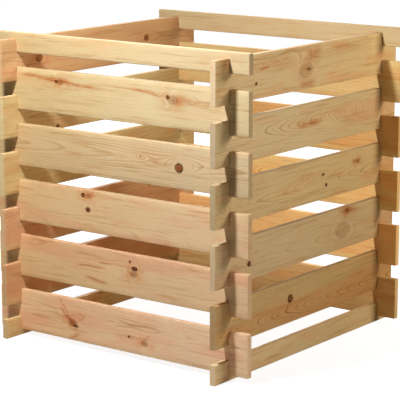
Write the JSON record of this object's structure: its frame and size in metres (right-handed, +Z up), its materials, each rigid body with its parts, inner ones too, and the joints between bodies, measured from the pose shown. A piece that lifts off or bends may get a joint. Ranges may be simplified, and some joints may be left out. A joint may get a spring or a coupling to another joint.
{
  "type": "wooden composter",
  "caption": "Open square compost bin of notched pine boards that cross at the corners in an interlocking stack, with air slots between the boards",
  "frame": {"origin": "on the ground, in the middle of the bin's square footprint", "axes": "+Z up, -Y towards the front wall, +X towards the right wall; the front and back boards run along X and the side boards along Y"},
  "size_m": [0.9, 0.9, 0.894],
  "materials": {
    "pine_pale": "planed, untreated pale pine",
    "pine_yellow": "planed, untreated yellowish pine",
    "pine_reddish": "planed, untreated slightly reddish pine"
  },
  "bodies": {
    "course_1": {"left_bottom_half_board": "pine_yellow", "right_bottom_half_board": "pine_yellow"},
    "course_2": {"front_board_1": "pine_reddish", "back_board_1": "pine_yellow"},
    "course_3": {"left_board_1": "pine_reddish", "right_board_1": "pine_yellow"},
    "course_4": {"front_board_2": "pine_reddish", "back_board_2": "pine_yellow"},
    "course_5": {"left_board_2": "pine_reddish", "right_board_2": "pine_pale"},
    "course_6": {"front_board_3": "pine_reddish", "back_board_3": "pine_yellow"},
    "course_7": {"left_board_3": "pine_yellow", "right_board_3": "pine_yellow"},
    "course_8": {"front_board_4": "pine_pale", "back_board_4": "pine_yellow"},
    "course_9": {"left_board_4": "pine_yellow", "right_board_4": "pine_pale"},
    "course_10": {"front_board_5": "pine_pale", "back_board_5": "pine_yellow"},
    "course_11": {"left_board_5": "pine_reddish", "right_board_5": "pine_yellow"},
    "course_12": {"front_top_half_board": "pine_pale", "back_top_half_board": "pine_pale"}
  },
  "joints": [
    {"name": "lift_course_2", "type": "slide", "parent": "course_1", "child": "course_2", "axis": [0, 0, 1], "range_m": [0, 0.06]},
    {"name": "lift_course_3", "type": "slide", "parent": "course_2", "child": "course_3", "axis": [0, 0, 1], "range_m": [0, 0.06]},
    {"name": "lift_course_4", "type": "slide", "parent": "course_3", "child": "course_4", "axis": [0, 0, 1], "range_m": [0, 0.06]},
    {"name": "lift_course_5", "type": "slide", "parent": "course_4", "child": "course_5", "axis": [0, 0, 1], "range_m": [0, 0.06]},
    {"name": "lift_course_6", "type": "slide", "parent": "course_5", "child": "course_6", "axis": [0, 0, 1], "range_m": [0, 0.06]},
    {"name": "lift_course_7", "type": "slide", "parent": "course_6", "child": "course_7", "axis": [0, 0, 1], "range_m": [0, 0.06]},
    {"name": "lift_course_8", "type": "slide", "parent": "course_7", "child": "course_8", "axis": [0, 0, 1], "range_m": [0, 0.06]},
    {"name": "lift_course_9", "type": "slide", "parent": "course_8", "child": "course_9", "axis": [0, 0, 1], "range_m": [0, 0.06]},
    {"name": "lift_course_10", "type": "slide", "parent": "course_9", "child": "course_10", "axis": [0, 0, 1], "range_m": [0, 0.06]},
    {"name": "lift_course_11", "type": "slide", "parent": "course_10", "child": "course_11", "axis": [0, 0, 1], "range_m": [0, 0.06]},
    {"name": "lift_course_12", "type": "slide", "parent": "course_11", "child": "course_12", "axis": [0, 0, 1], "range_m": [0, 0.06]}
  ]
}
